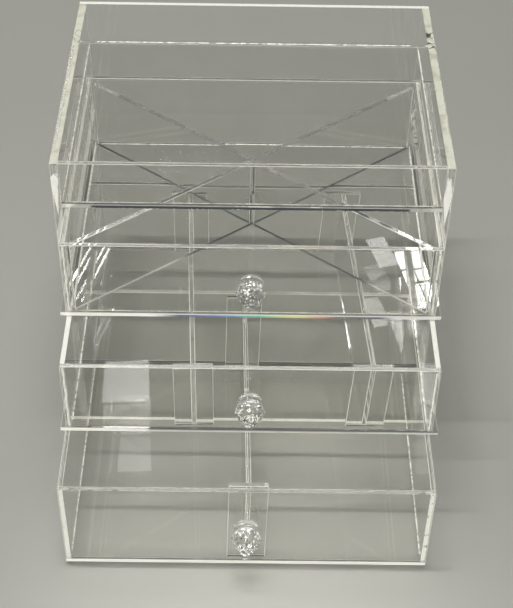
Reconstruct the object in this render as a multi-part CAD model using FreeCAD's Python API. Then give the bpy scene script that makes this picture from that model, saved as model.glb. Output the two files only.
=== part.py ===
"""Clear acrylic vanity organizer, in millimetres.

An open-fronted case carries a shallow open tray at the top and three drawers below it. The case
has two thick side panels; a back panel, a base panel, a tray floor and a tray front wall join them.
The two upper drawers hang by their floor plates, which stick out past the drawer box and run in
grooves milled along the inner faces of the side panels. The deep bottom drawer stands on the base.
Each drawer has a cut-gem knob. The top drawer holds a corner-to-corner cross divider, whose two
boards are slotted into each other; the others hold loose I-shaped dividers that slide sideways.

Frame: +X is to the right, +Y to the back, +Z up. The origin is the middle of the case's underside.
The drawers stand partly pulled out, like steps.
"""
import FreeCAD
import Part
import math
import os

# Sheets
side_sheet = 5.0          # the two side panels of the case
shell_sheet = 3.0         # back, base, tray floor and tray front wall
drawer_sheet = 3.0        # every panel of a drawer
divider_sheet = 3.0       # cross and loose dividers
edge_break = 0.2          # chamfer on the polished edges of every panel
bond_line = 0.05          # film of cement between glued panels

# Case
case_width = 240.0
case_depth = 184.0
tray_depth = 30.0         # from the tray's floor up to its rim
seat_gap = 0.3            # running gap under a drawer or a loose divider
stack_gap = 0.9           # air between one drawer and the next one above
tray_gap = 1.8            # air between the top drawer and the tray

# Drawers
shallow_height = 56.6     # top and middle drawers, floor plate and walls together
deep_height = 70.9        # bottom drawer
side_gap = 1.5            # air between a drawer box and the case, each side
groove_depth = 2.5        # how deep the side panels are grooved for the floor plates
groove_end_gap = 0.25     # sideways play of a floor plate in its groove, each side
front_setback = 2.0       # closed drawer fronts stand this far inside the case's front edge
back_gap = 3.0            # air between a closed drawer and the back panel

# How far each drawer is pulled out from its closed place
pull_top = 35.2
pull_middle = 78.5
pull_bottom = 124.9
bottom_drawer_shift = -1.2    # the bottom drawer rides to the left within its side play

# Knobs: a round collar, a short neck and a cut-gem head with its small flat end forwards
knob_collar_radius = 7.5
knob_collar_length = 2.2
knob_collar_round = 0.8       # how far the collar's front rim is rounded
knob_neck_radius = 4.9
knob_waist_radius = 5.2       # ring of points where the head starts
knob_waist_length = 3.6       # distances are from the drawer front
knob_pavilion_radius = 7.9    # ring of points between waist and girdle
knob_pavilion_length = 6.3
knob_girdle_radius = 9.3
knob_girdle_length = 8.3
knob_girdle_band = 1.0
knob_crown_radius = 6.9       # ring of points between girdle and the flat end
knob_crown_length = 14.2
knob_table_radius = 3.5
knob_length = 19.0
knob_facets = 10              # points in each ring of the head
knob_level_shallow = 28.4     # centre of the knob above the drawer's underside
knob_level_deep = 36.8

# Dividers
cross_end_gap = 0.3           # cross divider's ends to the drawer walls
cross_top_drop = 3.0          # cross divider below the drawer's rim
lap_gap = 0.15                # play of one cross board in the other's slot, each side
loose_width = 24.0            # end plates of the I-shaped dividers
loose_end_gap = 1.2           # I-shaped dividers to the front and back walls, each end
loose_top_drop_shallow = 3.0  # loose dividers below the rim of the middle drawer
loose_top_drop_deep = 0.3     # and below the rim of the bottom drawer

# The loose dividers as they stand: distance from a side wall, turn about Z and lean about Y
left_divider_from_wall = 71.8     # from the middle drawer's left wall
left_divider_turn_angle = 3.0
left_divider_lean_angle = 0.0
right_divider_from_wall = 45.0    # from the middle drawer's right wall
right_divider_turn_angle = 4.0
right_divider_lean_angle = 3.0
deep_divider_from_wall = 108.1    # from the bottom drawer's left wall
deep_divider_turn_angle = 1.5
deep_divider_lean_angle = 1.2

overcut = 1.0                 # how far a cutting block reaches past the sheet that it cuts

# Worked-out sizes
inner_width = case_width - 2 * side_sheet
box_width = inner_width - 2 * side_gap
half_inside = box_width / 2 - drawer_sheet
plate_width = inner_width + 2 * (groove_depth - groove_end_gap)
side_depth = case_depth - shell_sheet - bond_line
drawer_depth = case_depth - shell_sheet - front_setback - back_gap
front_y = -case_depth / 2
closed_y = front_y + front_setback

bottom_drawer_z = shell_sheet + seat_gap
middle_drawer_z = bottom_drawer_z + deep_height + stack_gap
top_drawer_z = middle_drawer_z + shallow_height + stack_gap
tray_floor_z = top_drawer_z + shallow_height + tray_gap
tray_top_z = tray_floor_z + shell_sheet
case_height = tray_top_z + tray_depth

UP = FreeCAD.Vector(0, 0, 1)
BACKWARDS = FreeCAD.Vector(0, 1, 0)
FORWARDS = FreeCAD.Vector(0, -1, 0)
ORIGIN = FreeCAD.Vector(0, 0, 0)


def export(shape, node):
    """Write one piece of the organizer to its own STEP file."""
    shape.exportStep(os.path.join("parts", node + ".step"))


def block(low, high):
    """A plain box between two corners."""
    corner = FreeCAD.Vector(*low)
    size = FreeCAD.Vector(*high) - corner
    return Part.makeBox(size.x, size.y, size.z, corner)


def panel(low, high):
    """A flat sheet with all its edges lightly broken, as polished acrylic is."""
    sheet = block(low, high)
    return sheet.makeChamfer(edge_break, sheet.Edges)


def groove_z(drawer_z):
    """Bottom and top of the groove that carries a floor plate at drawer_z."""
    return drawer_z - seat_gap, drawer_z + drawer_sheet + seat_gap


def side_panel(side):
    """A side of the case; side is -1 for the left one and 1 for the right one."""
    outer = side * case_width / 2
    inner = side * inner_width / 2
    floor_of_groove = inner + side * groove_depth
    sheet = panel((min(outer, inner), front_y, 0),
                  (max(outer, inner), front_y + side_depth, case_height))
    for drawer_z in (middle_drawer_z, top_drawer_z):
        low, high = groove_z(drawer_z)
        inside = inner - side * overcut
        cutter = block((min(inside, floor_of_groove), front_y - overcut, low),
                       (max(inside, floor_of_groove), front_y + side_depth + overcut, high))
        sheet = sheet.cut(cutter)
    return sheet


def build_case():
    """Six panels: two sides, back, base, tray floor and tray front wall."""
    half = inner_width / 2 - bond_line
    back_face = front_y + side_depth
    export(side_panel(-1), "case_side_left")
    export(side_panel(1), "case_side_right")
    export(panel((-case_width / 2, back_face + bond_line, 0),
                 (case_width / 2, case_depth / 2, case_height)), "case_back")
    export(panel((-half, front_y, 0), (half, back_face, shell_sheet)), "case_base")
    export(panel((-half, front_y, tray_floor_z), (half, back_face, tray_top_z)), "tray_floor")
    export(panel((-half, front_y, tray_top_z + bond_line),
                 (half, front_y + shell_sheet, case_height)), "tray_front_wall")


def ring(count, radius, distance, turned):
    """Evenly spaced points round the knob's axis, which runs along -Y from the drawer front."""
    step = 2 * math.pi / count
    start = step / 2 if turned else 0
    points = []
    for index in range(count):
        angle = start + index * step
        points.append(FreeCAD.Vector(radius * math.cos(angle), -distance, radius * math.sin(angle)))
    return points


def facet(*corners):
    """One flat face of a cut gem."""
    return Part.Face(Part.makePolygon(list(corners) + [corners[0]]))


def facet_band(near, far, far_turned):
    """Triangles between two rings that are turned by half a step against each other."""
    count = len(near)
    faces = []
    for index in range(count):
        following = (index + 1) % count
        if far_turned:
            faces.append(facet(near[index], near[following], far[index]))
            faces.append(facet(far[index], near[following], far[following]))
        else:
            faces.append(facet(near[index], far[index], far[following]))
            faces.append(facet(near[index], far[following], near[following]))
    return faces


def gem_head():
    """The faceted head: waist, pavilion points, girdle band, crown points and the flat end."""
    waist = ring(knob_facets, knob_waist_radius, knob_waist_length, False)
    pavilion = ring(knob_facets, knob_pavilion_radius, knob_pavilion_length, True)
    girdle_near = ring(knob_facets, knob_girdle_radius, knob_girdle_length, False)
    girdle_far = ring(knob_facets, knob_girdle_radius, knob_girdle_length + knob_girdle_band, False)
    crown = ring(knob_facets, knob_crown_radius, knob_crown_length, True)
    table = ring(knob_facets, knob_table_radius, knob_length, False)
    faces = [facet(*waist), facet(*table)]
    faces += facet_band(waist, pavilion, True)
    faces += facet_band(pavilion, girdle_near, False)
    for index in range(knob_facets):
        following = (index + 1) % knob_facets
        faces.append(facet(girdle_near[index], girdle_near[following],
                           girdle_far[following], girdle_far[index]))
    faces += facet_band(girdle_far, crown, True)
    faces += facet_band(crown, table, False)
    return Part.makeSolid(Part.makeShell(faces))


def collar():
    """The knob's round flange; two narrow bevels round its front rim off."""
    halfway = knob_collar_round * (1 - math.sqrt(0.5))
    profile = [(0, 0),
               (knob_collar_radius, 0),
               (knob_collar_radius, knob_collar_length - knob_collar_round),
               (knob_collar_radius - halfway, knob_collar_length - halfway),
               (knob_collar_radius - knob_collar_round, knob_collar_length),
               (0, knob_collar_length)]
    corners = [FreeCAD.Vector(radius, -distance, 0) for radius, distance in profile]
    return facet(*corners).revolve(ORIGIN, FORWARDS, 360)


def knob():
    """Collar, neck and gem head in one moulded piece, its back at y = 0."""
    neck = Part.makeCylinder(knob_neck_radius, knob_pavilion_length, ORIGIN, FORWARDS)
    return collar().fuse(neck).fuse(gem_head()).removeSplitter()


def drawer_walls(floor_width, height):
    """The five panels of a drawer, with the front's outer face at y = 0 and the underside at z = 0."""
    half_box = box_width / 2
    wall_z = drawer_sheet + bond_line
    end = drawer_depth
    behind_front = drawer_sheet + bond_line
    before_back = end - drawer_sheet - bond_line
    return {
        "floor": panel((-floor_width / 2, 0, 0), (floor_width / 2, end, drawer_sheet)),
        "front": panel((-half_box, 0, wall_z), (half_box, drawer_sheet, height)),
        "back": panel((-half_box, end - drawer_sheet, wall_z), (half_box, end, height)),
        "side_left": panel((-half_box, behind_front, wall_z),
                           (-half_box + drawer_sheet, before_back, height)),
        "side_right": panel((half_box - drawer_sheet, behind_front, wall_z),
                            (half_box, before_back, height)),
    }


def build_drawer(name, floor_width, height, knob_level, place):
    """Export a drawer's panels and its knob at their place in the case."""
    pieces = drawer_walls(floor_width, height)
    pieces["knob"] = knob()
    pieces["knob"].translate(FreeCAD.Vector(0, -bond_line, knob_level))
    for piece, shape in pieces.items():
        shape.translate(place)
        export(shape, name + "_" + piece)


def cross_board(direction, slot_from_top):
    """One board of the cross divider, from corner to corner of the drawer.

    direction is 1 for the board that runs to the right as it goes back, and -1 for the other.
    """
    inside_x = half_inside - cross_end_gap
    inside_y = drawer_depth / 2 - drawer_sheet - cross_end_gap
    angle = math.atan2(inside_y, inside_x)
    half_sheet = divider_sheet / 2
    half_length = min((inside_x - half_sheet * math.sin(angle)) / math.cos(angle),
                      (inside_y - half_sheet * math.cos(angle)) / math.sin(angle))
    height = shallow_height - drawer_sheet - bond_line - cross_top_drop
    board = panel((-half_length, -half_sheet, 0), (half_length, half_sheet, height))
    crossing = 2 * angle
    slot = divider_sheet * (1 + abs(math.cos(crossing))) / math.sin(crossing) + 2 * lap_gap
    low = (height - lap_gap) / 2 if slot_from_top else -overcut
    high = height + overcut if slot_from_top else (height + lap_gap) / 2
    board = board.cut(block((-slot / 2, -divider_sheet, low), (slot / 2, divider_sheet, high)))
    board.rotate(ORIGIN, UP, math.degrees(direction * angle))
    return board


def build_cross_divider(place):
    """Two half-lapped boards that stand on the top drawer's floor."""
    middle = FreeCAD.Vector(0, drawer_depth / 2, drawer_sheet + bond_line)
    for node, direction, slot_from_top in (("cross_divider_lower_board", 1, True),
                                           ("cross_divider_upper_board", -1, False)):
        board = cross_board(direction, slot_from_top)
        board.translate(place + middle)
        export(board, node)


def build_loose_divider(name, height, across, turn, lean, place):
    """A web along the drawer with a plate across each end; it may stand turned and leaning."""
    half_length = drawer_depth / 2 - drawer_sheet - loose_end_gap
    half_web = half_length - divider_sheet - bond_line
    half_sheet = divider_sheet / 2
    half_width = loose_width / 2
    pieces = {
        "web": panel((-half_sheet, -half_web, 0), (half_sheet, half_web, height)),
        "plate_front": panel((-half_width, -half_length, 0),
                             (half_width, -half_length + divider_sheet, height)),
        "plate_back": panel((-half_width, half_length - divider_sheet, 0),
                            (half_width, half_length, height)),
    }
    lift = seat_gap + half_width * math.sin(math.radians(lean))
    foot = FreeCAD.Vector(across, drawer_depth / 2, drawer_sheet + lift)
    for piece, shape in pieces.items():
        shape.rotate(ORIGIN, BACKWARDS, lean)
        shape.rotate(ORIGIN, UP, turn)
        shape.translate(place + foot)
        export(shape, name + "_" + piece)


def main():
    os.makedirs("parts", exist_ok=True)
    top = FreeCAD.Vector(0, closed_y - pull_top, top_drawer_z)
    middle = FreeCAD.Vector(0, closed_y - pull_middle, middle_drawer_z)
    bottom = FreeCAD.Vector(bottom_drawer_shift, closed_y - pull_bottom, bottom_drawer_z)
    build_case()
    build_drawer("top_drawer", plate_width, shallow_height, knob_level_shallow, top)
    build_drawer("middle_drawer", plate_width, shallow_height, knob_level_shallow, middle)
    build_drawer("bottom_drawer", box_width, deep_height, knob_level_deep, bottom)
    build_cross_divider(top)
    shallow_inside = shallow_height - drawer_sheet - seat_gap
    deep_inside = deep_height - drawer_sheet - seat_gap
    build_loose_divider("left_divider", shallow_inside - loose_top_drop_shallow,
                        left_divider_from_wall - half_inside,
                        left_divider_turn_angle, left_divider_lean_angle, middle)
    build_loose_divider("right_divider", shallow_inside - loose_top_drop_shallow,
                        half_inside - right_divider_from_wall,
                        right_divider_turn_angle, right_divider_lean_angle, middle)
    build_loose_divider("deep_divider", deep_inside - loose_top_drop_deep,
                        deep_divider_from_wall - half_inside,
                        deep_divider_turn_angle, deep_divider_lean_angle, bottom)


main()
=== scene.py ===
"""Dressing of a clear acrylic vanity organizer: polished sheets, gem knobs, cement and a soft studio.

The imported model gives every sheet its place, and the finishes are worked out from the sheets' own
boxes and faces. Lengths are metres, with +X to the right, +Y to the back and +Z up.
"""
import math
import random

import bpy
from mathutils import Matrix, Vector


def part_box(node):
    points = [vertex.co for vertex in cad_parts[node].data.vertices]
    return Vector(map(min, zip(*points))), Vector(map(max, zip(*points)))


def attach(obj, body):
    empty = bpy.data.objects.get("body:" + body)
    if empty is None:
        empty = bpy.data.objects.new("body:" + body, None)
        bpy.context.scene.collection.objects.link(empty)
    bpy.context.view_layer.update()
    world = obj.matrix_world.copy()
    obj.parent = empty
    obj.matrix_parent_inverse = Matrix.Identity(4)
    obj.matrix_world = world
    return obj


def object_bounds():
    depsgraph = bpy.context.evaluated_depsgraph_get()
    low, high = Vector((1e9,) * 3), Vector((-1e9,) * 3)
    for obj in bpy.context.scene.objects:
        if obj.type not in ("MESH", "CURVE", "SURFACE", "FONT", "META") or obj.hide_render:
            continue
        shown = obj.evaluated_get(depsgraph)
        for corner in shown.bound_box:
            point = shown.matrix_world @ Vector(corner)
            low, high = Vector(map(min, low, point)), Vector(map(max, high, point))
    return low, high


bl_info = {
    "name": "Clear Organizer Dressing",
    "version": (1, 0, 0),
    "blender": (4, 5, 0),
    "location": "View3D > Sidebar > Organizer",
    "description": "Finishes, cement lines and studio of a clear acrylic vanity organizer",
    "category": "Object",
}

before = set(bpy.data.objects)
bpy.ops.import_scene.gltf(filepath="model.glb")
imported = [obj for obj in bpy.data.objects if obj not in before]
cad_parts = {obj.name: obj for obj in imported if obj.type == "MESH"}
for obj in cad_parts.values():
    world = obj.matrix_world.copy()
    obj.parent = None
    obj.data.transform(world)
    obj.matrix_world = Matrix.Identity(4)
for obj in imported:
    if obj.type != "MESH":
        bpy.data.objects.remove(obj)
cad_low, cad_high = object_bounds()

DRAWERS = ("top_drawer", "middle_drawer", "bottom_drawer")
LOOSE_DIVIDERS = ("left_divider", "right_divider", "deep_divider")
UP = Vector((0, 0, 1))
FRONT = Vector((0, -1, 0))
RIGHT = Vector((1, 0, 0))

# Side walls that let mirrored rays through, so that the top drawer's floor mirrors the far lamps
OPEN_SHEETS = ("case_side_left", "case_side_right", "top_drawer_side_left", "top_drawer_side_right")
OPEN_SHARE = 0.93
OPEN_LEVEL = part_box("top_drawer_floor")[1].z + 0.0004

# Share of the light that a clear sheet passes face-on, where it isn't mirrored or bent
CLEAR_SHARE = 0.96

# Colours of the painted rainbow of split light along a floor plate's front edge, from left to right,
# and how far they stretch
RAINBOW_WIDTH = 0.234
RAINBOW = ((0.0, (0.9, 0.88, 0.8)), (0.24, (0.93, 0.93, 0.9)), (0.31, (0.02, 0.03, 0.12)),
           (0.42, (0.1, 0.16, 0.42)), (0.52, (0.13, 0.42, 0.3)), (0.62, (0.62, 0.6, 0.16)),
           (0.68, (0.62, 0.26, 0.12)), (0.73, (0.1, 0.1, 0.09)), (0.84, (0.04, 0.05, 0.1)),
           (0.89, (0.75, 0.75, 0.74)), (1.0, (0.6, 0.6, 0.56)))

# Cement: its greatest width, its gap to the sheets, the step of its ripples and the bare corners
CEMENT_SEED = 11
CEMENT_WIDTH = 0.00055
CEMENT_GAP = 0.00003
CEMENT_STEP = 0.003
CEMENT_STOP = 0.005

# Grain of the noises, in waves per metre
WAVE_GRAIN = 14.0           # slow waves in the faces of a sheet
# The clouds of CLOUD_GRAIN also vary how much painted glow the edges carry
CLOUD_GRAIN = 60.0          # saw marks and milky clouds in the edges
FLECK_GRAIN = 260.0         # dark blotches in the edges
GRIT_GRAIN = 700.0          # olive grit in the edges
SWAY_GRAIN = 45.0           # border between ivory and glass on the side panels' tops
VEIN_GRAIN = 85.0           # olive veins on the side panels' tops
CHIP_GRAIN = 330.0          # ivory chips in the glassy stretches of the tops
SQUIGGLE_GRAIN = 130.0      # dark wavy marks on the tops
PATCH_GRAIN = 55.0          # where those marks lie
SPECK_GRAIN = 420.0         # pale specks in the tray floor's front edge, and clots in the cement
TABLE_GRAIN = 5.0           # faint clouds on the table top
CUT_GRAIN = 850.0           # small cuts of the knobs

# Softboxes overhead, in a square grid
OVERHEAD_ROWS = 3
OVERHEAD_MIDDLE = Vector((-0.3, -0.05, 1.9))
OVERHEAD_SPACING = (0.5, 0.42)
OVERHEAD_SIZE = (0.2, 0.16)

# Far lamps behind the organizer that the floors mirror. Panes: place along the window and length
# of each row. Panels: name, middle, size, share of a pane's power and turn. Tubes: middle and length.
CEILING = 2.4
PANES_MIDDLE = Vector((0.532, 2.4375, CEILING))
PANES_TURN = math.radians(11)
PANE_ROWS = ((0.094, 0.087), (0.017, 0.053), (-0.077, 0.112))
PANE_SPACING = 0.043
PANE_WIDTH = 0.038
PANELS = (("panel_dim", (0.428, 2.564), (0.062, 0.14), 0.7, math.radians(16)),
          ("panel_left", (-0.367, 2.085), (0.14, 0.17), 1.6, math.radians(4)),
          ("panel_left_dim", (-0.355, 1.92), (0.135, 0.14), 0.6, math.radians(4)))
TUBES = ((-0.534, 2.489, 0.21), (-0.517, 2.485, 0.19), (-0.501, 2.446, 0.26), (-0.483, 2.442, 0.26))
TUBES_TURN = math.radians(-14.5)
TUBE_WIDTH = 0.007

# Sockets of the Mix node that blends colours
MIX_SHARE = 0
MIX_FIRST = 6
MIX_SECOND = 7
MIX_COLOUR = 2


class AcrylicSettings(bpy.types.PropertyGroup):
    """Looks of the clear sheet and of its edges."""

    tint: bpy.props.FloatVectorProperty(
        name="Sheet tint", description="Colour of light that has crossed one sheet",
        subtype="COLOR", size=3, min=0, max=1, default=(0.955, 0.955, 0.945))
    refraction: bpy.props.FloatProperty(
        name="Refraction", description="Refractive index of acrylic", default=1.49, min=1)
    # Edge tint: ivory of the frosted edges, which also paints the glow of light that the sheets pipe
    # to them
    edge_tint: bpy.props.FloatVectorProperty(
        name="Edge tint", description="Ivory glow of the sawn and polished edges",
        subtype="COLOR", size=3, min=0, max=1, default=(0.86, 0.85, 0.77))
    # Edge shade colours dark specks, and paints shade on the dark stretches of some edges
    edge_shade: bpy.props.FloatVectorProperty(
        name="Edge shade", description="Dark specks and dark stretches in the edges",
        subtype="COLOR", size=3, min=0, max=1, default=(0.05, 0.055, 0.06))
    vein_tint: bpy.props.FloatVectorProperty(
        name="Vein tint", description="Olive clouds in the polished edges",
        subtype="COLOR", size=3, min=0, max=1, default=(0.4, 0.39, 0.28))
    saw_marks: bpy.props.FloatProperty(
        name="Saw marks", description="Depth of the waves that the saw left in the edges",
        default=0.0003, unit="LENGTH")
    # Panel edge tint also paints the glow of the side panels' edges
    panel_tint: bpy.props.FloatVectorProperty(
        name="Panel edge tint", description="Ivory of the thick side panels' edges",
        subtype="COLOR", size=3, min=0, max=1, default=(0.66, 0.66, 0.54))
    # Edge glow paints light piping as emission from the edges, though they are no lamp
    edge_glow: bpy.props.FloatProperty(
        name="Edge glow", description="Light that a sheet pipes to its upright edges",
        default=0.6, min=0)
    edge_block: bpy.props.FloatProperty(
        name="Edge block", description="Share of the lamps' light that a clear edge scatters away",
        default=0.6, min=0, max=1, subtype="FACTOR")
    # Cement glow paints light picked up from the sheets as emission
    cement_glow: bpy.props.FloatProperty(
        name="Cement glow", description="Light that the milky cement picks up from the sheets",
        default=0.35, min=0)
    edge_roughness: bpy.props.FloatProperty(
        name="Edge roughness", description="Satin of the polished edges", default=0.3,
        min=0, max=1)
    # Rim share sets the width of the painted highlights along an edge's two rims
    rim_share: bpy.props.FloatProperty(
        name="Rim share", description="Share of half the sheet's thickness kept by the bright rims",
        default=0.3, min=0, max=1, subtype="FACTOR")
    sparkle_start: bpy.props.FloatProperty(
        name="Sparkle start", description="Share of the knobs' small cuts that don't sparkle",
        default=0.9, min=0, max=1, subtype="FACTOR")
    cut_tilt: bpy.props.FloatProperty(
        name="Cut tilt", description="Lean of the small cuts that make the knobs sparkle",
        default=0.3, min=0)
    ripple: bpy.props.FloatProperty(
        name="Ripple", description="Depth of the slow waves in a cast sheet", default=0.000008,
        unit="LENGTH")


class StudioSettings(bpy.types.PropertyGroup):
    """Floor, lamps and world."""

    floor_tint: bpy.props.FloatVectorProperty(
        name="Floor tint", description="Colour of the table top",
        subtype="COLOR", size=3, min=0, max=1, default=(0.385, 0.385, 0.345))
    world_tint: bpy.props.FloatVectorProperty(
        name="World tint", description="Soft light from all round",
        subtype="COLOR", size=3, min=0, max=1, default=(0.2, 0.2, 0.2))
    ceiling_tint: bpy.props.FloatVectorProperty(
        name="Ceiling tint", description="Dim ceiling behind, which the floors mirror",
        subtype="COLOR", size=3, min=0, max=1, default=(0.05, 0.05, 0.05))
    card_tint: bpy.props.FloatVectorProperty(
        name="Dark card", description="Dark backdrop that the polished edges pick up",
        subtype="COLOR", size=3, min=0, max=1, default=(0.01, 0.012, 0.02))
    key_power: bpy.props.FloatProperty(
        name="Overhead softbox", description="Power of the lamps overhead", default=14.5,
        unit="POWER")
    strip_power: bpy.props.FloatProperty(
        name="Overhead strip", description="Power of the narrow lamp overhead", default=41,
        unit="POWER")
    fill_power: bpy.props.FloatProperty(
        name="Front fill", description="Power of the lamp in front", default=2, unit="POWER")
    window_power: bpy.props.FloatProperty(
        name="Windows", description="Power of the small far lamps that the floors mirror",
        default=0.18, unit="POWER")
    tube_power: bpy.props.FloatProperty(
        name="Tubes", description="Power of each thin far lamp on the left", default=0.07,
        unit="POWER")
    glow_power: bpy.props.FloatProperty(
        name="Front glow", description="Power of the narrow lamp on the table in front",
        default=0.13, unit="POWER")


class CameraSettings(bpy.types.PropertyGroup):
    """Where the camera stands and looks."""

    eye: bpy.props.FloatVectorProperty(
        name="Eye", description="Place of the camera", subtype="TRANSLATION", unit="LENGTH",
        size=3, default=(-0.00182, -0.72666, 0.70576))
    yaw: bpy.props.FloatProperty(
        name="Yaw", description="Turn to the right", unit="ROTATION", default=math.radians(0.49))
    pitch: bpy.props.FloatProperty(
        name="Pitch", description="Tilt downwards", unit="ROTATION", default=math.radians(43.03))
    roll: bpy.props.FloatProperty(
        name="Roll", description="Roll of the frame", unit="ROTATION", default=math.radians(1.04))
    height_angle: bpy.props.FloatProperty(
        name="Angle of view", description="Angle of view from the bottom to the top of the frame",
        unit="ROTATION", default=math.radians(25.42))


class Value:
    """A number socket; an expression on values adds the Math nodes that work it out."""

    def __init__(self, finish, socket):
        self.finish = finish
        self.socket = socket

    def math(self, operation, *others):
        """A Math node with this value first and the others after it."""
        sources = dict(enumerate((self,) + others))
        return self.finish.value("ShaderNodeMath", "Value", {"operation": operation}, sources)

    def reflected(self, operation, other):
        """A Math node with the other value first."""
        return self.finish.value("ShaderNodeMath", "Value", {"operation": operation},
                                 {0: other, 1: self})

    def __add__(self, other):
        return self.math("ADD", other)

    __radd__ = __add__

    def __sub__(self, other):
        return self.math("SUBTRACT", other)

    def __rsub__(self, other):
        return self.reflected("SUBTRACT", other)

    def __mul__(self, other):
        return self.math("MULTIPLY", other)

    __rmul__ = __mul__

    def __truediv__(self, other):
        return self.math("DIVIDE", other)

    def __pow__(self, other):
        return self.math("POWER", other)

    def __gt__(self, other):
        return self.math("GREATER_THAN", other)

    def __lt__(self, other):
        return self.math("LESS_THAN", other)

    def __abs__(self):
        return self.math("ABSOLUTE")

    def clamped(self):
        """This value held between 0 and 1."""
        return self.math("MINIMUM", 1.0).math("MAXIMUM", 0.0)

    def ramp(self, start, end):
        """0 below start and 1 above end, with a smooth rise between them."""
        return self.finish.value("ShaderNodeMapRange", "Result",
                                 {"interpolation_type": "SMOOTHSTEP"},
                                 {"Value": self, "From Min": start, "From Max": end})


class Finish:
    """A node tree under construction, and the one way to add a node to it."""

    def __init__(self, tree):
        self.tree = tree
        self.tree.nodes.clear()

    def node(self, kind, settings=None, inputs=None):
        """Add a node: its settings first, then the values or links of its sockets."""
        made = self.tree.nodes.new(kind)
        for name, setting in (settings or {}).items():
            if name == "color_ramp":
                self.fill_ramp(made.color_ramp, setting)
            else:
                setattr(made, name, setting)
        for name, source in (inputs or {}).items():
            if isinstance(source, Value):
                self.tree.links.new(source.socket, made.inputs[name])
            elif isinstance(source, bpy.types.NodeSocket):
                self.tree.links.new(source, made.inputs[name])
            else:
                made.inputs[name].default_value = source
        return made

    @staticmethod
    def fill_ramp(ramp, stops):
        """Give a colour ramp its stops."""
        while len(ramp.elements) < len(stops):
            ramp.elements.new(0.5)
        for element, (position, tint) in zip(ramp.elements, stops):
            element.position = position
            element.color = colour(tint)

    def value(self, kind, output, settings=None, inputs=None):
        """One number output of a new node."""
        return Value(self, self.node(kind, settings, inputs).outputs[output])

    def along(self, vector, axis):
        """How far a vector reaches along a fixed axis."""
        return self.value("ShaderNodeVectorMath", "Value", {"operation": "DOT_PRODUCT"},
                          {0: vector, 1: tuple(axis)})

    def vector(self, operation, *sources):
        """A vector worked out by a Vector Math node."""
        return self.node("ShaderNodeVectorMath", {"operation": operation},
                         dict(enumerate(sources))).outputs["Vector"]

    def noise(self, place, scale, detail=2.0):
        """Cloudy noise round 0.5."""
        return self.value("ShaderNodeTexNoise", "Fac", None,
                          {"Vector": place, "Scale": scale, "Detail": detail})

    def mix(self, share, first, second):
        """A colour between two others."""
        return self.node("ShaderNodeMix", {"data_type": "RGBA"},
                         {MIX_SHARE: share, MIX_FIRST: first,
                          MIX_SECOND: second}).outputs[MIX_COLOUR]

    def blend(self, share, first, second):
        """A surface between two others."""
        return self.node("ShaderNodeMixShader", None,
                         {0: share, 1: first, 2: second}).outputs["Shader"]


def colour(tint):
    """A colour with full alpha for a colour socket."""
    return (tint[0], tint[1], tint[2], 1.0)


def new_material(name):
    """An empty node material and the finish that fills it."""
    material = bpy.data.materials.new(name)
    material.use_nodes = True
    return material, Finish(material.node_tree)


def dress(node, material):
    """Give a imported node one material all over."""
    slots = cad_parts[node].data.materials
    slots.clear()
    slots.append(material)


def clear_surface(finish, acrylic, normal, blocked=0.0, opening=None):
    """Solid clear acrylic. Lamps and diffuse light go straight through what isn't blocked, and
    mirrored rays go straight through an opening."""
    glass = finish.node("ShaderNodeBsdfPrincipled", None,
                        {"Base Color": colour(acrylic.tint), "Roughness": 0.0,
                         "IOR": acrylic.refraction, "Transmission Weight": 1.0,
                         "Normal": normal}).outputs["BSDF"]
    path = finish.node("ShaderNodeLightPath")
    lamp_ray = Value(finish, path.outputs["Is Shadow Ray"])
    soft_ray = Value(finish, path.outputs["Is Diffuse Ray"])
    facing = finish.value("ShaderNodeLayerWeight", "Facing", None, {"Blend": 0.5})
    passed = lamp_ray.math("MAXIMUM", soft_ray) * (CLEAR_SHARE - CLEAR_SHARE * facing ** 5)
    passed = passed * (1.0 - blocked)
    if opening is not None:
        mirror_ray = Value(finish, path.outputs["Is Glossy Ray"])
        let_in = Value(finish, path.outputs["Transparent Depth"]) > 0.5
        inside = finish.value("ShaderNodeNewGeometry", "Backfacing")
        opened = mirror_ray * opening * let_in.math("MAXIMUM", 1 - inside)
        passed = passed.math("MAXIMUM", opened)
    once = [math.sqrt(part) for part in acrylic.tint]
    straight = finish.node("ShaderNodeBsdfTransparent", None,
                           {"Color": colour(once)}).outputs["BSDF"]
    return finish.blend(passed, glass, straight)


def thin_axis(node):
    """The direction across a sheet, from its largest face, and where the sheet's faces lie on it."""
    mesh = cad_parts[node].data
    largest = max(mesh.polygons, key=lambda face: face.area)
    axis = largest.normal.normalized()
    if sum(axis) < 0:
        axis = -axis
    reach = [axis.dot(corner.co) for corner in mesh.vertices]
    return axis, min(reach), max(reach)


class Edge:
    """Looks of one edge: its share of frosted ivory and painted glow, how much of that the middle
    keeps, and dark blotches.
    """

    def __init__(self, milk_and_glow, core=0.12, blotch=0.0):
        self.milk_and_glow = milk_and_glow
        self.core = core
        self.blotch = blotch


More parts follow.
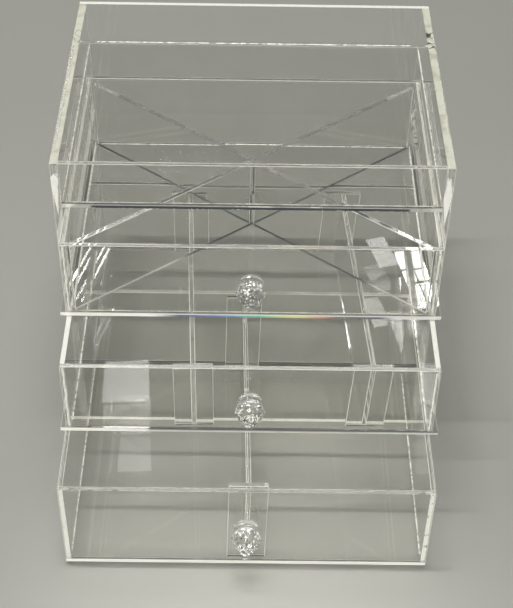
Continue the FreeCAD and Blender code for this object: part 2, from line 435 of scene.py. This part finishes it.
class Sheet:
    """The finish of one clear sheet: glassy faces, and satin ivory on its edges, partly frosted edge
    and partly painted glow of light piped through the sheet.
    """

    def __init__(self, node):
        self.node = node
        self.acrylic = bpy.context.scene.organizer_acrylic
        axis, near, far = thin_axis(node)
        self.material, self.finish = new_material(node + "_acrylic")
        finish = self.finish
        self.place = finish.node("ShaderNodeTexCoord").outputs["Object"]
        geometry = finish.node("ShaderNodeNewGeometry").outputs
        normal = geometry["True Normal"]
        outwards = 1 - 2 * Value(finish, geometry["Backfacing"])
        self.x = finish.along(self.place, RIGHT)
        self.y = finish.along(self.place, -FRONT)
        self.z = finish.along(self.place, UP)
        self.across = (finish.along(self.place, axis) - (near + far) / 2) / ((far - near) / 2)
        # The rims are painted highlights: thin bright lines where an edge meets the sheet's faces
        share = self.acrylic.rim_share
        self.rim = abs(self.across).ramp(1 - share, 1 - share / 2)
        self.edge = abs(finish.along(normal, axis)) < 0.9
        self.up = finish.along(normal, UP) * outwards > 0.5
        self.down = finish.along(normal, UP) * outwards < -0.5
        self.front = finish.along(normal, FRONT) * outwards > 0.5
        self.facing_front = self.front * (1 - self.up)
        self.elsewhere = (1 - self.up) * (1 - self.facing_front)
        self.cloud = finish.noise(self.place, CLOUD_GRAIN, 3.0)

    def edges(self, up, front, other):
        """Share of ivory with painted glow, and dark share, of the edges, for edges that face up,
        forwards or elsewhere. Each facing gets its own level, which paints how brightly the lamps
        light it.
        """
        milk_and_glow = 0.0
        blotch = 0.0
        fleck = self.finish.noise(self.place, FLECK_GRAIN).ramp(0.56, 0.66)
        for face, look in ((self.up, up), (self.facing_front, front), (self.elsewhere, other)):
            kept = look.core + (1 - look.core) * self.rim
            milk_and_glow = milk_and_glow + face * kept * look.milk_and_glow
            blotch = blotch + face * look.blotch
        return (self.edge * milk_and_glow * (0.55 + 0.9 * self.cloud)).clamped(), blotch * fleck

    def tinted(self, dark, ivory=None):
        """Ivory of the frosted edges and of their painted glow, with small olive clouds, and dark
        where the dark share says.
        """
        grit = self.finish.noise(self.place, GRIT_GRAIN).ramp(0.58, 0.75)
        light = self.finish.mix(grit * 0.5, colour(ivory or self.acrylic.edge_tint),
                                colour(self.acrylic.vein_tint))
        return self.finish.mix(dark, light, colour(self.acrylic.edge_shade))

    def complete(self, milk_and_glow, tint):
        """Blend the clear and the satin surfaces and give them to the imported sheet."""
        finish = self.finish
        acrylic = self.acrylic
        wave = finish.noise(self.place, WAVE_GRAIN)
        ripple = finish.node("ShaderNodeBump", None,
                             {"Height": wave, "Distance": acrylic.ripple,
                              "Strength": 1.0}).outputs["Normal"]
        grain = finish.node("ShaderNodeBump", None,
                            {"Height": self.cloud, "Distance": acrylic.saw_marks,
                             "Strength": 0.6}).outputs["Normal"]
        # Painted glow: emission on the edges that don't face up, strongest on the front ones, stands
        # in for light the sheet pipes to them
        painted_piped_glow = finish.mix((1 - self.up) * (0.35 + 0.65 * self.front), colour((0, 0, 0)), tint)
        satin = finish.node("ShaderNodeBsdfPrincipled", None,
                            {"Base Color": tint, "Roughness": acrylic.edge_roughness,
                             "IOR": acrylic.refraction, "Normal": grain,
                             "Emission Color": painted_piped_glow,
                             "Emission Strength": acrylic.edge_glow}).outputs["BSDF"]
        opening = None
        if self.node in OPEN_SHEETS:
            opening = OPEN_SHARE * (1 - self.edge) * (self.z > OPEN_LEVEL)
        clear = clear_surface(finish, acrylic, ripple, acrylic.edge_block * self.edge, opening)
        finish.node("ShaderNodeOutputMaterial", None,
                    {"Surface": finish.blend(milk_and_glow, clear, satin)})
        dress(self.node, self.material)


def tent(value, low, peak, high):
    """Rises from 0 at low to 1 at peak and falls back to 0 at high."""
    rise = (value - low) / (peak - low)
    return rise.math("MINIMUM", (high - value) / (high - peak)).clamped()


def between(value, low, high, soft):
    """1 between low and high with soft ends."""
    return value.ramp(low - soft, low + soft) * (1 - value.ramp(high - soft, high + soft))


def plain_sheet(node, up, front, other):
    """A sheet whose edges look the same all along."""
    sheet = Sheet(node)
    milk_and_glow, dark = sheet.edges(up, front, other)
    sheet.complete(milk_and_glow, sheet.tinted(dark))


def squiggles(sheet, low, high):
    """Thin dark wavy marks on a stretch of a side panel's top edge."""
    finish = sheet.finish
    wave = finish.noise(sheet.place, SQUIGGLE_GRAIN, 1.0)
    line = 1 - abs(wave - 0.5).ramp(0.015, 0.05)
    patch = finish.noise(sheet.place, PATCH_GRAIN, 0.0).ramp(0.42, 0.5)
    return line * patch * between(sheet.y, low, high, 0.003)


def side_panel(side):
    """A thick side panel: frosted ivory with painted glow on its top edge, with glassy stretches, and
    a painted ivory wedge of glow in front. The stretches are given by their place along the panel and
    the wedge by its heights."""
    sheet = Sheet("case_side_" + side)
    finish = sheet.finish
    length_only = finish.vector("MULTIPLY", sheet.place, (0.0, 1.0, 0.0))
    sway = finish.noise(length_only, SWAY_GRAIN) - 0.5
    if side == "left":
        glassy = between(sheet.y, -0.075, 0.04, 0.012)
        solid = (sheet.across + 0.05 + 1.2 * sway).ramp(-0.08, 0.08)
        wedge_top = 0.213
        wedge = tent(sheet.z, 0.185, wedge_top, 0.2165)
        lean = sheet.across + 0.25 - 9.0 * (wedge_top - sheet.z).math("MAXIMUM", 0.0)
        mark = squiggles(sheet, 0.02, 0.06) * 0.5
    else:
        glassy = between(sheet.y, -0.06, 0.06, 0.02)
        solid = 1 - (sheet.across - 0.75 - 0.6 * sway).ramp(-0.06, 0.06)
        wedge = tent(sheet.z, 0.180, 0.2035, 0.2165)
        lean = sheet.across + 0.1
        mark = squiggles(sheet, 0.03, 0.075)
    chip = finish.noise(sheet.place, CHIP_GRAIN).ramp(0.5, 0.62)
    top = 1 - glassy * (1 - solid) * (0.85 - 0.55 * chip)
    front = (wedge - abs(lean)).ramp(-0.1, 0.1) * 0.95
    front = front.math("MAXIMUM", sheet.rim * 0.35)
    # Painted glow: ivory on the top edge, a wedge on the front edge, rims elsewhere and the foot
    milk_and_glow = sheet.edge * (sheet.up * top * 0.95 + sheet.facing_front * front
                         + sheet.elsewhere * sheet.rim * 0.4 + sheet.down * 0.8)
    veins = finish.noise(sheet.place, VEIN_GRAIN, 3.0).ramp(0.48, 0.68) * 0.75
    ivory = finish.mix(veins, sheet.tinted(mark, sheet.acrylic.panel_tint),
                       colour(sheet.acrylic.vein_tint))
    tint = finish.mix(sheet.up, sheet.tinted(mark), ivory)
    sheet.complete(milk_and_glow.clamped(), tint)


def spectrum(sheet, strength):
    """The painted rainbow of split light in a floor plate's front edge, over the ivory."""
    ramp = sheet.finish.node("ShaderNodeValToRGB", {"color_ramp": RAINBOW},
                             {"Fac": sheet.x / RAINBOW_WIDTH + 0.5}).outputs["Color"]
    return sheet.finish.mix(strength, colour(sheet.acrylic.edge_tint), ramp)


def floor_plate(drawer, front_milk_and_glow, strength, split):
    """A drawer's floor plate, whose front edge has a painted rainbow and painted shadow right of the
    split.
    """
    sheet = Sheet(drawer + "_floor")
    milk_and_glow, dark = sheet.edges(Edge(0.5), Edge(front_milk_and_glow, 0.85), Edge(0.6, 0.3))
    lower = 1 - sheet.across.ramp(0.0, 0.3)
    rainbow = spectrum(sheet, strength * (0.25 + 0.75 * lower))
    shadow = (0.85 - 0.5 * lower) * sheet.x.ramp(split, split + 0.004)
    rainbow = sheet.finish.mix(shadow, rainbow, colour(sheet.acrylic.edge_shade))
    tint = sheet.finish.mix(sheet.front, sheet.tinted(dark), rainbow)
    sheet.complete(milk_and_glow, tint)


def tray_floor():
    """The tray's floor: its front edge has painted shade between two pale ends."""
    sheet = Sheet("tray_floor")
    milk_and_glow, dark = sheet.edges(Edge(0.5), Edge(1.3, 0.9), Edge(0.7, 0.15, 0.35))
    # Painted shade: the middle of the front edge is dark, with pale specks on its rims
    shaded_middle = between(sheet.x, -0.098, 0.096, 0.002) * sheet.front * (1 - sheet.across.ramp(0.3, 0.5))
    speck = sheet.finish.noise(sheet.place, SPECK_GRAIN).ramp(0.6, 0.66)
    milk_and_glow = milk_and_glow * (1 - 0.5 * sheet.front * (1 - shaded_middle) * sheet.cloud.ramp(0.4, 0.5))
    sheet.complete(milk_and_glow, sheet.tinted((shaded_middle * (1 - speck * sheet.rim)).clamped()))


def side_wall(node, up, line, width, blotch, foot):
    """A drawer's side wall: a painted highlight line in its front edge, and another along its foot.
    Both are given by how far they lie from the sheet's middle, where its faces lie at -1 and 1."""
    sheet = Sheet(node)
    milk_and_glow, dark = sheet.edges(up, Edge(0.25, 0.6, blotch), Edge(0.5))
    stripe = tent(sheet.across, line - width, line, line + width) * sheet.facing_front
    # Painted highlights: a line in the front edge and one along the foot
    joint = tent(sheet.across, foot - 0.35, foot, foot + 0.35) * sheet.down
    sheet.complete((milk_and_glow + 1.3 * stripe + 1.1 * joint).clamped(), sheet.tinted(dark))


class OrganizerOperator(bpy.types.Operator):
    """Shared options of the organizer's operators."""

    bl_options = {"REGISTER", "UNDO"}


class ORGANIZER_OT_case(OrganizerOperator):
    """Finish the panels of the case and its tray"""

    bl_idname = "organizer.case"
    bl_label = "Case Panels"

    def execute(self, context):
        side_panel("left")
        side_panel("right")
        plain_sheet("case_back", up=Edge(1.3, 0.95), front=Edge(0.5), other=Edge(0.6))
        plain_sheet("case_base", up=Edge(0.6), front=Edge(1.3, 0.9), other=Edge(0.3))
        plain_sheet("tray_front_wall", up=Edge(1.3, 0.1), front=Edge(0.5), other=Edge(0.4))
        tray_floor()
        return {"FINISHED"}


class ORGANIZER_OT_drawers(OrganizerOperator):
    """Finish the panels of the three drawers"""

    bl_idname = "organizer.drawers"
    bl_label = "Drawer Boxes"

    def execute(self, context):
        floor_plate("top_drawer", front_milk_and_glow=1.3, strength=0.9, split=0.2)
        floor_plate("middle_drawer", front_milk_and_glow=1.2, strength=0.12, split=-0.065)
        floor_plate("bottom_drawer", front_milk_and_glow=1.3, strength=0.15, split=0.2)
        # Each drawer's upper edges in front, at the sides and at the back, the share of ivory and
        # painted glow in its front's other edges, and the width of the painted highlight line in its
        # side walls' front edges
        looks = (("top_drawer", Edge(1.3), Edge(1.0), Edge(1.2), 0.5, 0.4),
                 ("middle_drawer", Edge(1.3, 0.2), Edge(1.3, 0.8), Edge(1.2), 0.25, 0.5),
                 ("bottom_drawer", Edge(0.6, 0.1, 0.7), Edge(0.9), Edge(1.0, 0.6), 0.5, 1.4))
        for drawer, front_up, side_up, back_up, milk_and_glow, width in looks:
            plain_sheet(drawer + "_front", up=front_up, front=Edge(0.6), other=Edge(milk_and_glow, 0.3))
            plain_sheet(drawer + "_back", up=back_up, front=Edge(0.5), other=Edge(0.5))
            side_wall(drawer + "_side_left", side_up, line=0.1, width=width, blotch=0.15, foot=0.65)
            side_wall(drawer + "_side_right", side_up, line=-0.3, width=width, blotch=0.7, foot=-0.65)
        return {"FINISHED"}


def glued_trays():
    """Name, body and sheets of each glued tray, and whether its front and back have cement lines."""
    yield ("tray", "case",
           ("tray_floor", "case_side_left", "case_side_right", "tray_front_wall", "case_back"), True)
    for drawer in DRAWERS:
        ends = ("_floor", "_side_left", "_side_right", "_front", "_back")
        yield drawer, drawer, [drawer + end for end in ends], drawer == "top_drawer"


def inner_corners(floor, left, right, front, back):
    """Near left and far right corner inside a glued tray, on top of its floor."""
    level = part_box(floor)[1].z + CEMENT_GAP
    near = Vector((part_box(left)[1].x + CEMENT_GAP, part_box(front)[1].y + CEMENT_GAP, level))
    far = Vector((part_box(right)[0].x - CEMENT_GAP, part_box(back)[0].y - CEMENT_GAP, level))
    return near, far


def cement_line(corners, faces, start, end, away, draw):
    """Add a hollow fillet of squeezed-out cement, whose width wanders, to the corners and faces."""
    steps = int((end - start).length / CEMENT_STEP)
    first = len(corners)
    for index in range(steps + 1):
        foot = start.lerp(end, index / steps)
        width = CEMENT_WIDTH * draw.uniform(0.5, 1.0)
        corners += [foot, foot + away * width, foot + (away + UP) * width * 0.4, foot + UP * width]
    last = first + 4 * steps
    made = [(first, first + 1, first + 2, first + 3), (last + 3, last + 2, last + 1, last)]
    for near in range(first, last, 4):
        for side in range(4):
            following = (side + 1) % 4
            made.append((near + side, near + side + 4, near + following + 4, near + following))
    if (end - start).cross(away).dot(UP) > 0:
        made = [face[::-1] for face in made]
    faces += made


def cement_material():
    """Milky cement with clear gaps, and a painted glow by emission."""
    acrylic = bpy.context.scene.organizer_acrylic
    material, finish = new_material("cement")
    place = finish.node("ShaderNodeTexCoord").outputs["Object"]
    milk_and_glow = finish.noise(place, SPECK_GRAIN).ramp(0.3, 0.55) * 0.75
    # Painted glow: emission stands in for light the cement picks up from the sheets
    satin = finish.node("ShaderNodeBsdfPrincipled", None,
                        {"Base Color": colour(acrylic.edge_tint), "Roughness": 0.25,
                         "Emission Color": colour(acrylic.edge_tint),
                         "Emission Strength": acrylic.cement_glow}).outputs["BSDF"]
    clear = finish.node("ShaderNodeBsdfTransparent").outputs["BSDF"]
    finish.node("ShaderNodeOutputMaterial", None, {"Surface": finish.blend(milk_and_glow, clear, satin)})
    return material


class ORGANIZER_OT_cement(OrganizerOperator):
    """Lay the cement lines along the inner feet of the glued walls"""

    bl_idname = "organizer.cement"
    bl_label = "Cement Lines"

    def execute(self, context):
        material = cement_material()
        draw = random.Random(CEMENT_SEED)
        stop_y = -FRONT * CEMENT_STOP
        stop_x = RIGHT * CEMENT_STOP
        for name, body, sheets, all_round in glued_trays():
            near_left, far_right = inner_corners(*sheets)
            far_left = Vector((near_left.x, far_right.y, near_left.z))
            near_right = Vector((far_right.x, near_left.y, near_left.z))
            lines = [(near_left + stop_y, far_left - stop_y, RIGHT),
                     (near_right + stop_y, far_right - stop_y, -RIGHT)]
            if all_round:
                lines += [(near_left + stop_x, near_right - stop_x, -FRONT),
                          (far_left + stop_x, far_right - stop_x, FRONT)]
            corners = []
            faces = []
            for start, end, away in lines:
                cement_line(corners, faces, start, end, away, draw)
            mesh = bpy.data.meshes.new(name + "_cement")
            mesh.from_pydata(corners, [], faces)
            mesh.materials.append(material)
            piece = bpy.data.objects.new(name + "_cement", mesh)
            context.scene.collection.objects.link(piece)
            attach(piece, body)
        return {"FINISHED"}


def gem_material(node):
    """Cut acrylic: clear near the drawer, with painted glints of glowing cells, most round the girdle
    of the gem, and painted dark facets on the head. The girdle and the head are found by their share
    of the way from the drawer's front to the knob's end."""
    acrylic = bpy.context.scene.organizer_acrylic
    low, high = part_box(node)
    material, finish = new_material(node + "_acrylic")
    place = finish.node("ShaderNodeTexCoord").outputs["Object"]
    reach = (high.y - finish.along(place, -FRONT)) / (high.y - low.y)
    girdle = between(reach, 0.36, 0.52, 0.03)
    head = reach.ramp(0.2, 0.3)
    cells = finish.node("ShaderNodeTexVoronoi", None,
                        {"Vector": place, "Scale": CUT_GRAIN}).outputs["Color"]
    tilt = finish.vector("SUBTRACT", cells, (0.5, 0.5, 0.5))
    tilt = finish.vector("MULTIPLY", tilt, (acrylic.cut_tilt,) * 3)
    facets = finish.node("ShaderNodeNewGeometry").outputs["Normal"]
    facets = finish.vector("NORMALIZE", finish.vector("ADD", facets, tilt))
    chance = finish.node("ShaderNodeSeparateColor", None, {"Color": cells}).outputs
    painted_highlight = Value(finish, chance["Red"]) + 0.12 * girdle - 0.1 * (1 - head) > acrylic.sparkle_start
    dark = Value(finish, chance["Green"]) > acrylic.sparkle_start
    # Painted glints: emissive ivory cells that stand in for sparkles of lamplight in the cut
    painted_glint = finish.node("ShaderNodeBsdfPrincipled", None,
                        {"Base Color": colour(acrylic.edge_tint), "Roughness": 0.1,
                         "Emission Color": colour(acrylic.edge_tint),
                         "Emission Strength": 0.4}).outputs["BSDF"]
    # Painted shade: dark cells on the head
    shade = finish.node("ShaderNodeBsdfPrincipled", None,
                        {"Base Color": colour(acrylic.edge_shade),
                         "Roughness": 0.1}).outputs["BSDF"]
    surface = finish.blend(dark * head * 0.6, clear_surface(finish, acrylic, facets), shade)
    finish.node("ShaderNodeOutputMaterial", None,
                {"Surface": finish.blend(painted_highlight * 0.75, surface, painted_glint)})
    return material


class ORGANIZER_OT_knobs(OrganizerOperator):
    """Finish the cut-gem knobs"""

    bl_idname = "organizer.knobs"
    bl_label = "Gem Knobs"

    def execute(self, context):
        for drawer in DRAWERS:
            dress(drawer + "_knob", gem_material(drawer + "_knob"))
        return {"FINISHED"}


def cross_board(board, split):
    """A board of the cross divider: its top edge has a painted highlight at one end, and its foot has
    painted shade on one side of the split."""
    sheet = Sheet("cross_divider_" + board)
    milk_and_glow, dark = sheet.edges(Edge(1.4, 0.1), Edge(0.8), Edge(0.8, 0.6))
    # Painted highlight at one end of the top edge, a faint pale line elsewhere, and painted shade on
    # the foot
    if board == "lower_board":
        foot = sheet.x.ramp(split - 0.004, split + 0.004)
        painted_highlight = 1 - sheet.x.ramp(-0.04, 0.0)
    else:
        foot = 1 - sheet.x.ramp(split - 0.004, split + 0.004)
        painted_highlight = sheet.x.ramp(0.05, 0.06)
    pale = sheet.up * (1 - painted_highlight) * (0.12 + 0.3 * sheet.cloud)
    milk_and_glow = milk_and_glow * (1 - (1 - painted_highlight) * sheet.up) + pale
    milk_and_glow = milk_and_glow.math("MAXIMUM", sheet.down * (0.3 + 0.65 * foot))
    sheet.complete(milk_and_glow.clamped(), sheet.tinted((sheet.down * foot + dark).clamped()))


class ORGANIZER_OT_dividers(OrganizerOperator):
    """Finish the cross divider and the loose dividers"""

    bl_idname = "organizer.dividers"
    bl_label = "Dividers"

    def execute(self, context):
        cross_board("lower_board", split=-0.045)
        cross_board("upper_board", split=0.075)
        for divider in LOOSE_DIVIDERS:
            for piece in ("web", "plate_front", "plate_back"):
                plain_sheet(divider + "_" + piece, up=Edge(1.1, 0.08, 0.2), front=Edge(0.9, 0.1),
                            other=Edge(0.8, 0.1))
        return {"FINISHED"}


def area_lamp(name, place, target, size, power):
    """A rectangular lamp that looks at a target."""
    light = bpy.data.lights.new(name, "AREA")
    light.shape = "RECTANGLE"
    light.size, light.size_y = size
    light.energy = power
    lamp = bpy.data.objects.new(name, light)
    lamp.location = place
    aim = Vector(target) - Vector(place)
    lamp.rotation_euler = aim.to_track_quat("-Z", "Y").to_euler()
    bpy.context.scene.collection.objects.link(lamp)
    return lamp


def flat_lamp(name, place, size, power, turn):
    """A rectangular lamp that looks straight down, turned about the upright axis."""
    lamp = area_lamp(name, place, (place[0], place[1], 0.0), size, power)
    lamp.rotation_euler = (0.0, 0.0, turn)


class ORGANIZER_OT_stage(OrganizerOperator):
    """Lay the table top and set the lamps, the world and the camera"""

    bl_idname = "organizer.stage"
    bl_label = "Table, Lamps and Camera"

    def execute(self, context):
        studio = context.scene.organizer_studio
        lay_table(studio)
        set_world(studio)
        hang_lamps(studio)
        place_camera(context.scene, context.scene.organizer_camera)
        context.scene.view_settings.view_transform = "Standard"
        context.scene.cycles.max_bounces = 20
        context.scene.cycles.transmission_bounces = 20
        context.scene.cycles.glossy_bounces = 12
        context.scene.cycles.transparent_max_bounces = 64
        context.scene.cycles.sample_clamp_indirect = 24
        return {"FINISHED"}


def lay_table(studio):
    """A wide plain table top just under the organizer."""
    reach = 4.0
    gap = 0.0002
    level = cad_low[2] - gap
    mesh = bpy.data.meshes.new("table_top")
    corners = [(-reach, -reach, level), (reach, -reach, level),
               (reach, reach, level), (-reach, reach, level)]
    mesh.from_pydata(corners, [], [(0, 1, 2, 3)])
    table = bpy.data.objects.new("table_top", mesh)
    bpy.context.scene.collection.objects.link(table)
    material, finish = new_material("table_top")
    place = finish.node("ShaderNodeTexCoord").outputs["Object"]
    cloud = finish.noise(place, TABLE_GRAIN)
    tint = colour(studio.floor_tint)
    darker = colour([0.93 * part for part in studio.floor_tint])
    surface = finish.node("ShaderNodeBsdfPrincipled", None,
                          {"Base Color": finish.mix(cloud, darker, tint), "Roughness": 0.6,
                           "Specular IOR Level": 0.2}).outputs["BSDF"]
    finish.node("ShaderNodeOutputMaterial", None, {"Surface": surface})
    mesh.materials.append(material)


def set_world(studio):
    """Dim even light from all round."""
    world = bpy.data.worlds.new("studio")
    bpy.context.scene.world = world
    world.use_nodes = True
    finish = Finish(world.node_tree)
    way = finish.node("ShaderNodeTexCoord").outputs["Generated"]
    height = finish.along(way, UP)
    behind = finish.along(way, -FRONT).ramp(0.0, 0.3)
    ceiling = behind * (1 - height.ramp(0.85, 0.97))
    card = behind * (1 - height.ramp(0.34, 0.5))
    shade = finish.mix(ceiling, colour(studio.world_tint), colour(studio.ceiling_tint))
    shade = finish.mix(card, shade, colour(studio.card_tint))
    background = finish.node("ShaderNodeBackground", None, {"Color": shade, "Strength": 1.0})
    finish.node("ShaderNodeOutputWorld", None, {"Surface": background.outputs["Background"]})


def hang_lamps(studio):
    """Lamps overhead, a fill in front, and the far lamps behind that the floors mirror."""
    middle = (0.0, -0.05, 0.1)
    half_way = (OVERHEAD_ROWS - 1) / 2
    for row in range(OVERHEAD_ROWS):
        for column in range(OVERHEAD_ROWS):
            shift = Vector((OVERHEAD_SPACING[0] * (column - half_way),
                            OVERHEAD_SPACING[1] * (row - half_way), 0.0))
            area_lamp("overhead_%d_%d" % (row, column), OVERHEAD_MIDDLE + shift, middle,
                      OVERHEAD_SIZE, studio.key_power / OVERHEAD_ROWS ** 2)
    flat_lamp("strip", (-0.33, -0.14, 3.0), (1.2, 0.04), studio.strip_power, 0.0)
    area_lamp("front_fill", (0.1, -1.5, 1.0), middle, (1.4, 0.8), studio.fill_power)
    # A glow on the table in front, too near to be mirrored as a lamp of the room
    glow = area_lamp("front_glow", (0.0, -0.33, 0.62), (0.0, -0.33, 0.0), (0.24, 0.2),
                     studio.glow_power)
    glow.data.spread = math.radians(24)
    glow.visible_glossy = False
    turn = Matrix.Rotation(PANES_TURN, 3, "Z")
    for row, (along, length) in enumerate(PANE_ROWS):
        for column in range(2):
            shift = turn @ Vector((PANE_SPACING * (column - 0.5), along, 0.0))
            flat_lamp("pane_%d_%d" % (row, column), PANES_MIDDLE + shift, (PANE_WIDTH, length),
                      studio.window_power * length / PANE_ROWS[0][1], PANES_TURN)
    for name, (x, y), size, share, panel_turn in PANELS:
        flat_lamp(name, (x, y, CEILING), size, studio.window_power * share, panel_turn)
    for tube, (x, y, length) in enumerate(TUBES):
        flat_lamp("tube_%d" % tube, (x, y, CEILING), (TUBE_WIDTH, length), studio.tube_power,
                  TUBES_TURN)


def place_camera(scene, settings):
    """Camera that looks down at the organizer from the front."""
    data = bpy.data.cameras.new("camera")
    data.sensor_fit = "VERTICAL"
    data.angle_y = settings.height_angle
    data.clip_start = 0.01
    camera = bpy.data.objects.new("camera", data)
    turn = (Matrix.Rotation(-settings.yaw, 4, "Z")
            @ Matrix.Rotation(math.pi / 2 - settings.pitch, 4, "X")
            @ Matrix.Rotation(settings.roll, 4, "Z"))
    camera.matrix_world = Matrix.Translation(settings.eye) @ turn
    scene.collection.objects.link(camera)
    scene.camera = camera


class ORGANIZER_PT_sidebar(bpy.types.Panel):
    """Lists the organizer's pieces in the sidebar"""

    bl_idname = "ORGANIZER_PT_sidebar"
    bl_label = "Organizer"
    bl_space_type = "VIEW_3D"
    bl_region_type = "UI"
    bl_category = "Organizer"

    def draw(self, context):
        for operator in OPERATORS:
            self.layout.operator(operator.bl_idname)


SETTINGS = (
    ("organizer_acrylic", AcrylicSettings),
    ("organizer_studio", StudioSettings),
    ("organizer_camera", CameraSettings),
)
OPERATORS = (
    ORGANIZER_OT_case,
    ORGANIZER_OT_drawers,
    ORGANIZER_OT_cement,
    ORGANIZER_OT_knobs,
    ORGANIZER_OT_dividers,
    ORGANIZER_OT_stage,
)


def register():
    """Add the settings, the operators and the panel."""
    for name, group in SETTINGS:
        bpy.utils.register_class(group)
        setattr(bpy.types.Scene, name, bpy.props.PointerProperty(type=group))
    for operator in OPERATORS:
        bpy.utils.register_class(operator)
    bpy.utils.register_class(ORGANIZER_PT_sidebar)


def unregister():
    """Take away all that register added."""
    bpy.utils.unregister_class(ORGANIZER_PT_sidebar)
    for operator in reversed(OPERATORS):
        bpy.utils.unregister_class(operator)
    for name, group in reversed(SETTINGS):
        delattr(bpy.types.Scene, name)
        bpy.utils.unregister_class(group)


def main():
    """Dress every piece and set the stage."""
    register()
    bpy.ops.organizer.case()
    bpy.ops.organizer.drawers()
    bpy.ops.organizer.cement()
    bpy.ops.organizer.knobs()
    bpy.ops.organizer.dividers()
    bpy.ops.organizer.stage()


if __name__ == "__main__":
    main()
